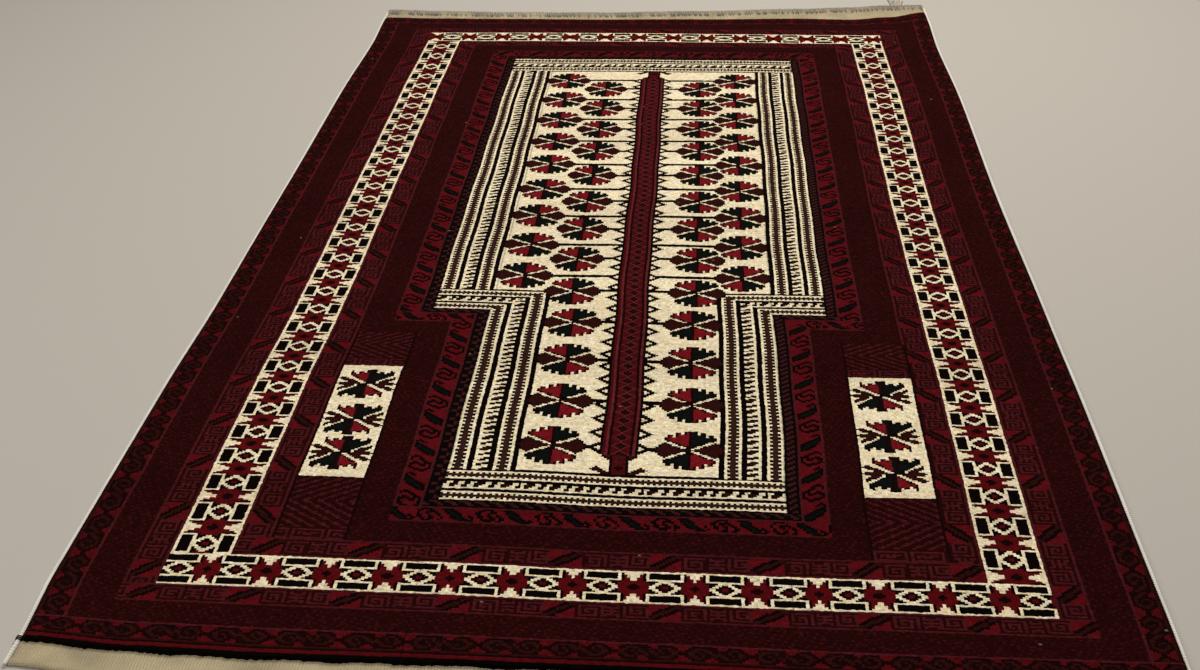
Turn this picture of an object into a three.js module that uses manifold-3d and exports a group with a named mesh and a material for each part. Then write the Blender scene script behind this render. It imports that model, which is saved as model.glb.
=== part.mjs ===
// A hand-knotted wool prayer rug lying flat: one woven body whose knotted pile stops short of
// two flat-woven ends with turned hems, a wrapped cord down each long side, and a tuft of loose
// warp ends at one far corner.
// Millimetres, +Z up, +Y towards the far end, floor at z = 0.

import * as THREE from "three";
import { mergeVertices } from "three/addons/utils/BufferGeometryUtils.js";
import Module from "manifold-3d";

// Driving sizes of the body
const pileWidth = 1092;
const pileLength = 1628;
const pileNearEdge = -866.5;
const pileTop = 7.5;
const pileShoulder = 5.2;
const shoulderWidth = 6;
const flatWeaveTop = 2.4;
const surfaceWave = 0.5;

// How far in from an end its uneven edge is felt
const endReach = 80;

// Wrapped cord down each long side
const cordWidth = 4.8;
const cordHeight = 4.8;
const cordSides = 10;
const cordEndTaper = 0.65;
const seam = 0.3;

// Loose warp ends at the far right corner
const tuftStrands = 9;
const tuftRootX = 497;
const tuftRootWidth = 13;
const tuftSpread = 27;
const tuftLength = 62;
const tuftHeadLength = 9;
const tuftHeadHeight = 4.6;
const strandWidth = 2.2;
const strandHeight = 2;
const strandSteps = 4;

// Steps across and along the body's mesh
const columnsAcross = 20;
const rowsAlongPile = 22;

// Each long side wanders a little from straight, as hand weaving does; along = 0 near, 1 far
const sideWander = [
  { along: 0.0, left: 3, right: -1 },
  { along: 0.06, left: -2, right: 0 },
  { along: 0.25, left: -2.5, right: 1.5 },
  { along: 0.36, left: 1, right: 0 },
  { along: 0.55, left: 0.5, right: -2 },
  { along: 0.78, left: -2, right: 2 },
  { along: 0.92, left: 2, right: -2 },
  { along: 1.0, left: -2.5, right: 1 },
];

// Where each end of the pile lies past its mean line, and how deep the flat weave beyond it is;
// across = 0 left, 1 right
const endWander = [
  { across: 0.0, near: 6, nearDepth: 28, far: 8, farDepth: 33 },
  { across: 0.1, near: -1, nearDepth: 31, far: 3, farDepth: 32 },
  { across: 0.22, near: -3, nearDepth: 32, far: 0, farDepth: 30 },
  { across: 0.4, near: -1, nearDepth: 30, far: -3, farDepth: 33 },
  { across: 0.58, near: 0, nearDepth: 31, far: 2, farDepth: 38 },
  { across: 0.77, near: -2, nearDepth: 30, far: 10, farDepth: 45 },
  { across: 0.86, near: 0, nearDepth: 29, far: 6, farDepth: 58 },
  { across: 0.93, near: 1, nearDepth: 30, far: 20, farDepth: 56 },
  { across: 1.0, near: 3, nearDepth: 29, far: 48, farDepth: 32 },
];

// Sections across the flat-woven ends: edge is what the distance is measured from, inward
const nearEnd = [
  { edge: "hem", inward: 0, top: 1.4 },
  { edge: "hem", inward: 1.5, top: 3.6 },
  { edge: "hem", inward: 4, top: 4.2 },
  { edge: "hem", inward: 8, top: flatWeaveTop },
  { edge: "pile", inward: -1, top: flatWeaveTop },
  { edge: "pile", inward: 0, top: 6.2 },
  { edge: "pile", inward: 4, top: pileTop },
];
const farEnd = [
  { edge: "hem", inward: 0, top: 2 },
  { edge: "hem", inward: 2, top: 5 },
  { edge: "hem", inward: 5, top: 6 },
  { edge: "hem", inward: 8, top: 5 },
  { edge: "hem", inward: 11, top: flatWeaveTop },
  { edge: "pile", inward: -1, top: flatWeaveTop },
  { edge: "pile", inward: 0, top: 6.2 },
  { edge: "pile", inward: 4, top: pileTop },
];

const wool = new THREE.MeshStandardMaterial({ color: 0x3a0b10, roughness: 0.95, metalness: 0 });
const cotton = new THREE.MeshStandardMaterial({ color: 0xb8b4ac, roughness: 0.9, metalness: 0 });
const warp = new THREE.MeshStandardMaterial({ color: 0xa9a294, roughness: 0.9, metalness: 0 });

// A smooth value between the rows of a table, read off its named columns
function between(table, place, column, at) {
  const last = table.length - 1;
  const held = Math.min(Math.max(at, table[0][place]), table[last][place]);
  let row = 0;
  while (row < last - 1 && table[row + 1][place] < held) row += 1;
  const low = table[row];
  const high = table[row + 1];
  const share = (held - low[place]) / (high[place] - low[place]);
  return THREE.MathUtils.lerp(low[column], high[column], THREE.MathUtils.smoothstep(share, 0, 1));
}

function sideX(side, along) {
  const wander = between(sideWander, "along", side, along);
  return side === "left" ? -pileWidth / 2 + wander : pileWidth / 2 + wander;
}

function endY(end, across) {
  const mean = end === "near" ? pileNearEdge : pileNearEdge + pileLength;
  return mean + between(endWander, "across", end, across);
}

function hemY(end, across) {
  const depth = between(endWander, "across", `${end}Depth`, across);
  return end === "near" ? endY(end, across) - depth : endY(end, across) + depth;
}

// One section across the body: its y at a place across, and its top
function endSection(end, { edge, inward, top }) {
  const direction = end === "near" ? 1 : -1;
  const line = edge === "hem" ? hemY : endY;
  return { y: (across) => line(end, across) + direction * inward, top };
}

function pileSection(share) {
  const y = THREE.MathUtils.lerp(pileNearEdge, pileNearEdge + pileLength, share);
  const reach = endReach / pileLength;
  const nearPull = 1 - THREE.MathUtils.smoothstep(share, 0, reach);
  const farPull = THREE.MathUtils.smoothstep(share, 1 - reach, 1);
  const pulled = (across) =>
    y +
    nearPull * between(endWander, "across", "near", across) +
    farPull * between(endWander, "across", "far", across);
  return { y: pulled, top: pileTop };
}

function bodySections() {
  const pile = [];
  for (let row = 0; row <= rowsAlongPile; row += 1) {
    pile.push(pileSection(THREE.MathUtils.lerp(0.012, 0.988, row / rowsAlongPile)));
  }
  return [
    ...nearEnd.map((section) => endSection("near", section)),
    ...pile,
    ...farEnd.map((section) => endSection("far", section)).reverse(),
  ];
}

function acrossPlaces() {
  const shoulder = shoulderWidth / pileWidth;
  const places = [0];
  for (let column = 0; column <= columnsAcross; column += 1) {
    places.push(THREE.MathUtils.lerp(shoulder, 1 - shoulder, column / columnsAcross));
  }
  places.push(1);
  return places;
}

function alongAt(y) {
  return (y - pileNearEdge) / pileLength;
}

function wave(x, y) {
  return surfaceWave * (Math.sin(x / 130 + y / 310) + Math.sin(y / 95 - x / 240));
}

// The body is a box whose points are moved on to the sections, its underside flat on the floor
function bodyGeometry() {
  const sections = bodySections();
  const places = acrossPlaces();
  const columns = places.length - 1;
  const rows = sections.length - 1;
  const geometry = new THREE.BoxGeometry(1, 1, 1, columns, rows, 1);
  const points = geometry.attributes.position;
  for (let i = 0; i < points.count; i += 1) {
    const column = Math.round((points.getX(i) + 0.5) * columns);
    const section = sections[Math.round((points.getY(i) + 0.5) * rows)];
    const across = places[column];
    const y = section.y(across);
    const along = alongAt(y);
    const x = THREE.MathUtils.lerp(sideX("left", along), sideX("right", along), across);
    const isSide = column === 0 || column === columns;
    const isPile = section.top === pileTop;
    let top = isSide ? Math.min(section.top, pileShoulder) : section.top;
    if (isPile && !isSide) top += wave(x, y);
    points.setXYZ(i, x, y, points.getZ(i) > 0 ? top : 0);
  }
  return geometry;
}

// A cord beside the body, following its side at the same sections, flattened where it lies
function cordGeometry(side) {
  const across = side === "left" ? 0 : 1;
  const outward = side === "left" ? -1 : 1;
  const stations = bodySections().map((section) => section.y(across));
  const last = stations.length - 1;
  const geometry = new THREE.CylinderGeometry(1, 1, 1, cordSides, last);
  const points = geometry.attributes.position;
  const lowest = -Math.cos(Math.PI / cordSides);
  const widest = Math.cos(Math.PI / (2 * cordSides));
  const turn = Math.PI / cordSides;
  for (let i = 0; i < points.count; i += 1) {
    const station = Math.round((points.getY(i) + 0.5) * last);
    const y = stations[station];
    const fullness = station === 0 || station === last ? cordEndTaper : 1;
    const px = points.getX(i) * Math.cos(turn) - points.getZ(i) * Math.sin(turn);
    const pz = points.getX(i) * Math.sin(turn) + points.getZ(i) * Math.cos(turn);
    const edge = sideX(side, alongAt(y)) + outward * (seam + cordWidth / 2);
    const x = edge + fullness * (px / widest) * (cordWidth / 2);
    const z = fullness * ((pz - lowest) / (2 * -lowest)) * cordHeight;
    points.setXYZ(i, x, y, z);
  }
  return geometry;
}

const wasm = await Module();
wasm.setup();

function toSolid(geometry) {
  const bare = geometry.clone();
  bare.deleteAttribute("normal");
  bare.deleteAttribute("uv");
  const merged = mergeVertices(bare, 1e-4);
  return new wasm.Manifold(
    new wasm.Mesh({
      numProp: 3,
      vertProperties: new Float32Array(merged.attributes.position.array),
      triVerts: new Uint32Array(merged.index.array),
    }),
  );
}

function toGeometry(solid) {
  const mesh = solid.getMesh();
  const geometry = new THREE.BufferGeometry();
  geometry.setAttribute("position", new THREE.BufferAttribute(mesh.vertProperties, 3));
  geometry.setIndex(new THREE.BufferAttribute(mesh.triVerts, 1));
  return geometry;
}

// The tuft is built from its root at the origin and points along +Y
function tuftHead() {
  const head = new THREE.CylinderGeometry(0.5, 0.5, tuftHeadLength, 10);
  head.scale(tuftRootWidth, 1, tuftHeadHeight);
  head.translate(0, tuftHeadLength / 2, tuftHeadHeight / 2 - 0.1);
  const points = head.attributes.position;
  for (let i = 0; i < points.count; i += 1) {
    points.setZ(i, Math.max(points.getZ(i), 0));
  }
  return head;
}

function tuftStrand(number) {
  const share = number / (tuftStrands - 1) - 0.5;
  const length = tuftLength * (1 - 0.3 * Math.abs(Math.sin(number * 2.3)));
  const sway = 3 * Math.sin(number * 1.7);
  const strand = new THREE.BoxGeometry(strandWidth, 1, strandHeight, 1, strandSteps, 1);
  const points = strand.attributes.position;
  for (let i = 0; i < points.count; i += 1) {
    const step = points.getY(i) + 0.5;
    const fan = THREE.MathUtils.lerp(tuftRootWidth * 0.75, tuftSpread, step) * share;
    const x = points.getX(i) + fan + sway * step * step;
    const y = THREE.MathUtils.lerp(tuftHeadLength / 2, length, step);
    const lift = 0.8 * Math.max(0, 1 - step * 3);
    points.setXYZ(i, x, y, points.getZ(i) + strandHeight / 2 + lift);
  }
  return strand;
}

function tuftGeometry() {
  let tuft = toSolid(tuftHead());
  for (let number = 0; number < tuftStrands; number += 1) {
    tuft = tuft.add(toSolid(tuftStrand(number)));
  }
  return toGeometry(tuft);
}

function piece(name, geometry, material) {
  const mesh = new THREE.Mesh(geometry, material);
  mesh.name = name;
  return mesh;
}

const rug = new THREE.Group();
rug.add(piece("rug_body", bodyGeometry(), wool));
rug.add(piece("side_cord_left", cordGeometry("left"), cotton));
rug.add(piece("side_cord_right", cordGeometry("right"), cotton));

const tuft = piece("corner_tuft", tuftGeometry(), warp);
const tuftAcross = (tuftRootX + pileWidth / 2) / pileWidth;
const tuftClear = Math.max(
  hemY("far", tuftAcross - tuftRootWidth / 2 / pileWidth),
  hemY("far", tuftAcross + tuftRootWidth / 2 / pileWidth),
);
tuft.position.set(tuftRootX, tuftClear + seam, 0);
rug.add(tuft);

export default rug;
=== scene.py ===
"""A hand-knotted wool prayer rug lying flat: its knotted pile with every band, flower and hook of the
pattern, its woven foundation with a flat-woven strip at each end, the cords along its sides, and the
loose warp ends at one corner. Metres, +Z up, +Y towards the far end."""

import math

import bpy
import numpy as np
from mathutils import Matrix, Vector


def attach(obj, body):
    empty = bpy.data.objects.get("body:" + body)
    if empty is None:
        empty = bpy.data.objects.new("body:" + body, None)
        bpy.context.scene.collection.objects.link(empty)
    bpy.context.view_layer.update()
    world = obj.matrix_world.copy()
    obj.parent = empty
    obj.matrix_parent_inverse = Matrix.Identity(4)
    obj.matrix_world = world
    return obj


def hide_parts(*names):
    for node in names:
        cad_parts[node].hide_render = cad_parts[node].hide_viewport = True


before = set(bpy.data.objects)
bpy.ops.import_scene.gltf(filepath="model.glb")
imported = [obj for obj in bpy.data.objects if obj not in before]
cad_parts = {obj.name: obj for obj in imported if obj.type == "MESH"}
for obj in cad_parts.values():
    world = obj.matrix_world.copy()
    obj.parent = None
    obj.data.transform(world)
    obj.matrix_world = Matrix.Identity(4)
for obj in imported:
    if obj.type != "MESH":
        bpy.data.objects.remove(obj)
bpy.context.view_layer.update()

MM = 0.001

# The knotted pattern
# The pile is a grid of knots, as on squared paper: row 0 is at the near end, column 0 at the left,
# and each letter is a yarn. The charts are small repeats, drawn with the far row first and the
# band's outer edge at the left. A dot leaves what is under it.

COLUMNS, ROWS = 354, 758

# The rows past the bands at each end: black at the very end, then red
END_ROWS, RED_ROWS = 4, 2

# How many knots each band takes, from the rug's edge inwards
KEY = 11
FRAME_BANDS = (("scroll", 11), ("speckled", 13), ("key", KEY), ("star", 20), ("inner key", KEY))

# And round the arch, from its light ground outwards
BEADED = 22
ARCH_BANDS = (("beaded", BEADED), ("narrow", 5), ("arch scroll", 10), ("speckled", 13))

# The outer edge of the arch's beaded band: a narrow lower part and a wide upper part
LOW_LEFT, LOW_RIGHT, LOW_NEAR = 118, 236, 98
HIGH_LEFT, HIGH_RIGHT, HIGH_NEAR, HIGH_FAR = 94, 259, 269, 660

# Across the beaded band, from its outer edge: its toothed stripes, its black lines and its hooked
# stripe. One knot in so many along a toothed stripe's edges is light.
BEADS = ((1, 4), (16, 19))
LINES = [6, 7, 13, 14, 21]
HOOK_AT = 9
TEETH = {"near": 2, "far": 2, "left": 3, "right": 3}

# Half the width of the slanting bar in a key band's rectangle, and of its brown core, as shares
BAR_HALF, CORE_HALF = 0.36, 0.14

# The speckled bands: how far apart their slanting lines are and how often these turn, and the share
# of the knots on them and off them that are lighter
SPECKLE_PITCH, SPECKLE_TURN = 5, 37
ON_LINE, STRAY = 0.7, 0.05

# A quarter of the star unit, from the outer edge down to the middle line: star left, diamond right
STAR_QUARTER = """
iiiiiiiiii
iiikikkkkk
iickikkkkk
iickikkkkk
icckikkkkk
icckiiiiii
cccckkkkii
ccccckkiik
dcccckiikd
ddccciikdc
"""

# Squared spirals of the key bands
SPIRAL = """
lllllll
l.....l
l.lll.l
l.l.l.l
l.l...l
l.lllll
l......
lllllll
"""
BRACKET = """
ll.l.ll
.l.l.l.
.lllll.
.l.l.l.
ll.l.ll
"""

# The farther half of a running scroll, which curls in on itself
SCROLL = """
uuudduuu
uudddduu
uddbbddu
ddbbbbdd
dbbddbbd
dbddddbd
dbdbddbd
dbddbbdd
dbbddddu
ddbbdduu
dddbbduu
ddddbbdu
"""

# The scroll round the arch: a dark bar slanting across, then small curls
ARCH_SCROLL = """
lkkttttttl
lkkktttttl
lkgkkttttl
lkggkktttl
ltkggkkttl
ltkkggkktl
lttkkggkkl
ltttkkggkl
lttttkkgkl
ltttttkkkl
ltkkttttkl
lkkkkttttl
lkttkktttl
lttttkkttl
ltkkttkktl
lkkkktkkkl
lkktkkktkl
lktttkktkl
lkktttttkl
ltkkkttkkl
lttkkkkktl
lttttkkttl
ltkttttttl
lkkktttttl
lktkkttttl
"""

# Slanting dashes and staggered blobs of the narrow band
DASHES = """
.l...
.ll..
..ll.
...l.
"""
BLOBS = """
.....
.ll..
.ll..
.....
...l.
...ll
...l.
"""

# One repeat of the hooked stripe: a thin slanting bar, then a thick one
HOOK = """
..kk
kkkk
kk..
....
..kk
.kbk
kbbk
kkk.
....
"""

# A quarter of a flower, to its middle column: q is petal, o its outline, b and k leaf, s stem
FLOWER = """
..........ooo
.......oo.oqs
.......oq.oqs
....oo.oqqqqs
....oq.oqqqqs
...ooqqqqqqqs
...oqqqqqqqqs
...ooqqqqqqqs
....ooqqqqqqs
...k..ooqqqqs
..kbk..ooqqqs
.kbbbk..ooqqs
.kbbbbbk..oos
kbbbbbbbk..os
kbbbbbbbbbk.s
bbbbbbbbbbbbs
"""

# The upper half of the side panels' smaller flower, whose leaves end in three points
PANEL_FLOWER = """
..........oooo.........
....o.....oqso.....o...
....o..oo.oqso.oo..oo..
....oo.oqoqqsooqq.oqo..
....oqoqqqqqsqqqooqqo..
....oqqqqqqqsqqqqqqqo..
.....ooqqqqqsqqqqqqo...
.kk...ooqqqqsqqqqqo..k.
kbbk...oqqqqsqqqqo..kk.
.kbbbk..oqqqsqqqo.kbbk.
..kkbbk..oqqsqqo.kbbk..
....kbbk..oqsqo.kbbb...
.kkbbbbbk..osoo.kbbbbk.
kbbbbbbbbbkoskkbbbbbbbk
"""

# The chain of diamonds up the pole
CHAIN = """
...w...
..wdw..
.wddbw.
wddbddw
.wbddw.
..wdw..
...w...
"""
# The stripes at the left and the right of that chain
POLE_SIDES = ("knwd", "dwk")

# One tooth at the pole's left side
TOOTH = """
....k
...kk
..kkb
.kkki
kkkii
.kkki
..kkb
...kk
....k
"""

# The pole's foot, from its left to its middle column; its top end is the same turned over
FOOT = """
.....knldnln
.....kkndnnl
......kkdnln
.......kknnn
........knnn
........knll
........knnl
........knnn
........knnd
...k....kndd
..kbk...kndd
.kbbbk..knnd
..kkbbk.knnn
....kbbkknnn
.....kbbknnn
......kk....
"""

# Blocks that close a side panel's chevrons
BLOCKS = """
lllllllllll.
l.........l.
l.lll.lll.l.
l.l.lll...l.
l.........l.
lllllllllll.
"""

# The field's flowers: column, first row, how many, and the yarn of the upper left petals
FLOWER_PITCH = 38.6
FIELD_FLOWERS = (
    (128, 309, 9, "g"), (150, 292, 9, "r"), (153, 141, 4, "r"),
    (202, 141, 4, "r"), (204, 292, 9, "r"), (225, 309, 9, "g"),
)

# The pole between its two feet, and its teeth
POLE_LEFT, POLE_RIGHT, POLE_NEAR, POLE_FAR = 170, 184, 136, 622
TOOTH_START, TOOTH_PITCH = 5.5, 11.9

# The side panels: the light ground's left, right, near and far, the rows of its flowers, and which
# way the near and the far chevrons point
SIDE_PANELS = (
    (67, 90, 111, 207, (129, 158, 189), (-1, -1)),
    (264, 288, 110, 208, (128, 157, 191), (1, -1)),
)
PANEL_NEAR, PANEL_FAR = 70, 241
CHEVRON_PITCH, CHEVRON_LINE, CHEVRON_SLOPE = 4, 1.05, 0.75


def chart(text):
    """The chart as rows of letters, near row first."""
    return np.array([list(line) for line in text.split()][::-1])


def mirrored(text):
    """The chart and its mirror image, with its last column as the middle."""
    half = chart(text)
    return np.concatenate([half, half[:, -2::-1]], axis=1)


def filled(letters, ground):
    """The chart with its dots taken by the ground."""
    return np.where(letters == ".", ground, letters)


def repeat(unit, across, along, pitch, start):
    """The unit's letters at those places across it and along it, one repeat every pitch knots."""
    step = np.mod(along - start, pitch) * (len(unit) / pitch)
    return unit[np.minimum(step.astype(int), len(unit) - 1), across]


def stamp(grid, letters, row, column):
    """Lays a chart on the grid with its middle there."""
    low = round(row - letters.shape[0] / 2)
    left = round(column - letters.shape[1] / 2)
    part = grid[low : low + letters.shape[0], left : left + letters.shape[1]]
    part[...] = np.where(letters == ".", part, letters)


def star_unit():
    """The quarter chart mirrored both ways: half a star, a diamond, half a star."""
    quarter = chart(STAR_QUARTER)[::-1]
    whole = np.concatenate([quarter, quarter[::-1]])
    return np.concatenate([whole, whole[:, ::-1]], axis=1).T


def key_unit():
    """Two spirals and a bracket, then a red rectangle cut by a dark slanting bar."""
    spiral = chart(SPIRAL)
    gap = np.full((1, spiral.shape[1]), ".")
    figures = np.concatenate([gap, spiral[::-1, ::-1], gap, chart(BRACKET), gap, spiral])
    across, along = np.meshgrid(np.linspace(0, 1, KEY - 2), np.linspace(0, 1, KEY))
    off_bar = abs(across - along)
    cut = np.where(off_bar < BAR_HALF, "k", "t")
    cut[off_bar < CORE_HALF] = "b"
    inner = np.concatenate([np.pad(figures, ((0, 0), (1, 1)), constant_values="."), cut])
    return np.pad(inner, ((0, 0), (1, 1)), constant_values="l")


def beaded(place, across, along):
    """Across it: light lines, toothed stripes, black lines and the hooked stripe."""
    hook = filled(chart(HOOK), "i")
    if place in ("right", "far"):
        hook = hook[::-1]
    in_hook = (across >= HOOK_AT) & (across < HOOK_AT + hook.shape[1])
    in_chart = np.where(in_hook, across - HOOK_AT, 0)
    letters = repeat(hook, in_chart, along, *PITCHES["beaded"][STRETCHES.index(place)])
    letters[~in_hook] = "i"
    light = along % TEETH[place] == 1
    for first, last in BEADS:
        stripe = (across >= first) & (across <= last)
        letters[stripe & ~light] = "k"
        letters[stripe & (across > first) & (across < last)] = "h"
    letters[np.isin(across, LINES)] = "k"
    return letters


def scroll_unit():
    """The half chart after itself turned round, between the lines that edge the band."""
    half = chart(SCROLL)
    unit = np.concatenate([half[::-1, ::-1], half])
    unit = np.pad(unit, ((0, 0), (2, 1)), constant_values="l")
    unit[:, :2] = "d", "b"
    return unit


def narrow_unit(flipped):
    """Light blocks at one side of the arch and slanting dashes round the rest, on a dark ground."""
    unit = filled(chart(DASHES if flipped else BLOBS), "k")
    return np.where(unit == "l", "e", unit)


def speckle(across, along, rng):
    """Single lighter knots in slanting lines that turn now and then, many left out."""
    turned = (along // SPECKLE_TURN) % 2 == 0
    lean = np.where(turned, along + 2 * across, along - 2 * across)
    dotted = (lean % SPECKLE_PITCH == 0) & (rng.random(across.shape) < ON_LINE)
    stray = rng.random(across.shape) < STRAY
    return np.where(dotted | stray, "v", "m")


def band_letters(band, place, across, along, rng):
    """The knots of one stretch of a band. Place is the stretch: near, far, left or right."""
    if band == "speckled":
        return speckle(across, along, rng)
    if band == "beaded":
        return beaded(place, across, along)
    unit = filled(UNITS[band](place), "m")
    return repeat(unit, across, along, *PITCHES[band][STRETCHES.index(place)])


def lay_ring(grid, band, ring, ends, across_end, across_side, rng):
    """Knots one ring of a band, whose ends run through the corners."""
    row, column = np.indices(grid.shape)
    for place, part in (
        ("near", ends & (row < ROWS / 2)),
        ("far", ends & (row > ROWS / 2)),
        ("left", ring & ~ends & (column < COLUMNS / 2)),
        ("right", ring & ~ends & (column > COLUMNS / 2)),
    ):
        on_side = place in ("left", "right")
        across = (across_side if on_side else across_end)[part]
        along = (row if on_side else column)[part]
        grid[part] = band_letters(band, place, across, along, rng)


def frame_bands(grid, rng):
    """The bands round the whole rug, and the rows past them at its ends."""
    row, column = np.indices(grid.shape)
    from_end = np.minimum(row, ROWS - 1 - row) - END_ROWS
    from_side = np.minimum(column, COLUMNS - 1 - column)
    inset = np.minimum(from_end, from_side)
    grid[from_end < 0] = "u"
    grid[from_end < -RED_ROWS] = "k"
    edge = 0
    for band, width in FRAME_BANDS:
        ring = (inset >= edge) & (inset < edge + width)
        ends = ring & (from_end < edge + width)
        lay_ring(grid, band, ring, ends, from_end - edge, from_side - edge, rng)
        edge += width


def arch_bands(grid, rng):
    """The bands round the arch, from its light ground outwards."""
    row, column = np.indices(grid.shape)
    low_side = np.maximum(LOW_LEFT - column, column - LOW_RIGHT + 1)
    low_end = LOW_NEAR - row
    high_side = np.maximum(HIGH_LEFT - column, column - HIGH_RIGHT + 1)
    high_end = np.maximum(HIGH_NEAR - row, row - HIGH_FAR + 1)
    low = np.where(row < HIGH_NEAR + BEADED, np.maximum(low_side, low_end), COLUMNS)
    high = np.maximum(high_side, high_end)
    outward = np.minimum(low, high)
    end = np.where(low <= high, low_end, high_end)
    side = np.where(low <= high, low_side, high_side)
    inner = -BEADED
    grid[outward < inner] = "i"
    grid[outward == inner] = "k"
    for band, width in ARCH_BANDS:
        ring = (outward > inner) & (outward <= inner + width)
        ends = ring & (end > inner)
        inner += width
        lay_ring(grid, band, ring, ends, inner - end, inner - side, rng)


UNITS = {
    "scroll": lambda place: scroll_unit(),
    "arch scroll": lambda place: chart(ARCH_SCROLL),
    "key": lambda place: key_unit()[:, ::-1] if place == "right" else key_unit(),
    "inner key": lambda place: key_unit()[:, ::-1] if place == "left" else key_unit(),
    "star": lambda place: star_unit(),
    "narrow": lambda place: narrow_unit(place != "left"),
}

# A band's four stretches, and on each of them its repeat in knots and where one begins
STRETCHES = ("near", "far", "left", "right")
PITCHES = {
    "scroll": ((20.6, 36), (20.6, 36), (25.5, 311), (25.5, 299)),
    "arch scroll": ((19.7, 128.5), (19.7, 128.5), (25.8, 320), (25.8, 309)),
    "key": ((32.8, 36.4), (35, 12), (35.3, 18.5), (35.3, 23.5)),
    "inner key": ((32.5, 38.1), (35, 20), (35.2, 18.5), (35.2, 22)),
    "star": ((19.5, 49), (21.15, 165.2), (20, 15), (20, 3)),
    "beaded": ((8.6, 144), (9, 170), (8.6, 305.7), (8.6, 340.8)),
    "narrow": ((5, 0), (5, 0), (6.5, 0), (4, 0)),
}


def flower(upper, petal):
    """A flower in its yarns: its lower half is the upper one turned round."""
    middle = upper.shape[1] // 2
    for half, yarn in ((upper[:, :middle], petal), (upper[:, middle:], "g" if petal == "r" else "r")):
        half[half == "q"] = yarn
        half[half == "o"] = "d" if yarn == "r" else "k"
    upper[upper == "s"] = "d"
    return np.concatenate([upper[1:][::-1, ::-1], upper])


def pole(grid):
    """The banded pole up the middle, with teeth down both sides and a hooked foot at each end."""
    left, right = (chart(side)[0] for side in POLE_SIDES)
    chain = filled(chart(CHAIN), "n")
    tooth = chart(TOOTH)
    tooth_middle = tooth.shape[1] / 2
    for number in range(round((POLE_FAR - POLE_NEAR) / TOOTH_PITCH)):
        at = POLE_NEAR + TOOTH_START + number * TOOTH_PITCH
        stamp(grid, tooth, at, POLE_LEFT - tooth_middle)
        stamp(grid, tooth[:, ::-1], at, POLE_RIGHT + tooth_middle)
    rows = np.arange(POLE_NEAR, POLE_FAR)
    shaft = grid[POLE_NEAR:POLE_FAR, POLE_LEFT:POLE_RIGHT]
    shaft[:, : len(left)] = left
    shaft[:, -len(right) :] = right
    shaft[:, len(left) : -len(right)] = chain[rows % len(chain)]
    foot = mirrored(FOOT)
    middle = (POLE_LEFT + POLE_RIGHT + 1) / 2
    stamp(grid, foot, POLE_NEAR - len(foot) / 2, middle)
    stamp(grid, foot[::-1], POLE_FAR + len(foot) / 2, middle)


def field(grid):
    """Stems, flowers and the pole, on the light ground inside the arch."""
    places = [
        (column, first + number * FLOWER_PITCH, petal)
        for column, first, count, petal in FIELD_FLOWERS
        for number in range(count)
    ]
    for column, row, _ in places:
        low, high = sorted((column, (POLE_LEFT + POLE_RIGHT) // 2))
        grid[round(row) - 1 : round(row) + 2, low:high] = "k"
    pole(grid)
    for column, row, petal in places:
        stamp(grid, flower(mirrored(FLOWER), petal), row, column)


def chevrons(grid, near, far, left, right, point):
    """Fine light lines that meet in points at the left or at the right."""
    row, column = np.indices((far - near, right - left))
    inward = column if point < 0 else right - left - 1 - column
    line = abs(row - (far - near) / 2) - CHEVRON_SLOPE * inward
    grid[near:far, left:right] = np.where(np.mod(line, CHEVRON_PITCH) < CHEVRON_LINE, "l", "m")


def side_panel(grid, left, right, near, far, flowers, points):
    """Three flowers on a light ground between blocks and chevrons."""
    blocks = filled(chart(BLOCKS), "m")
    deep = len(blocks)
    blocks = blocks[:, np.arange(left, right) % blocks.shape[1]]
    grid[PANEL_NEAR:PANEL_FAR, left:right] = "m"
    grid[PANEL_NEAR:PANEL_FAR, [left - 1, right]] = "d"
    grid[PANEL_NEAR : PANEL_NEAR + deep, left:right] = blocks
    chevrons(grid, PANEL_NEAR + deep + 1, near - 1, left, right, points[0])
    grid[near:far, left:right] = "i"
    grid[far + 1 : far + 1 + deep, left:right] = blocks
    chevrons(grid, far + deep + 2, PANEL_FAR, left, right, points[1])
    for row in flowers:
        stamp(grid, flower(chart(PANEL_FLOWER), "r"), row, (left + right) / 2)


def knotted_pattern(rng):
    """The whole pile as letters, knot by knot."""
    grid = np.full((ROWS, COLUMNS), "m")
    frame_bands(grid, rng)
    arch_bands(grid, rng)
    for panel in SIDE_PANELS:
        side_panel(grid, *panel)
    field(grid)
    return grid


# The rug's outline and heights in millimetres, the same as in the part's source

# The pile's size and near end, its top and underside, and the top of the flat weave
PILE_WIDTH, PILE_LENGTH, PILE_NEAR = 1092, 1628, -866.5
PILE_TOP, PILE_BASE, WEAVE_TOP = 7.5, 2.5, 2.4

# How much lower the pile is at its sides and ends, over what reach, and how far in rows follow an end
SIDE_DROP, SIDE_ROUND = 2.3, 6
END_DROP, END_ROUND = 1.3, 4
END_REACH = 80

# The side cords, and the seam between one and the pile
CORD_WIDTH, CORD_HEIGHT, SEAM = 4.8, 4.8, 0.3

# How far each long side lies past straight; along = 0 near, 1 far
SIDE_ALONG = (0.0, 0.06, 0.25, 0.36, 0.55, 0.78, 0.92, 1.0)
SIDE_WANDER = {
    "left": (3, -2, -2.5, 1, 0.5, -2, 2, -2.5),
    "right": (-1, 0, 1.5, 0, -2, 2, -2, 1),
}

# How far each end of the pile lies past straight, and the depth of the flat weave beyond it
END_ACROSS = (0.0, 0.1, 0.22, 0.4, 0.58, 0.77, 0.86, 0.93, 1.0)
END_WANDER = {
    "near": (6, -1, -3, -1, 0, -2, 0, 1, 3),
    "far": (8, 3, 0, -3, 2, 10, 6, 20, 48),
}
WEAVE_DEPTH = {
    "near": (28, 31, 32, 30, 31, 30, 29, 30, 29),
    "far": (33, 32, 30, 33, 38, 45, 58, 56, 32),
}

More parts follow.
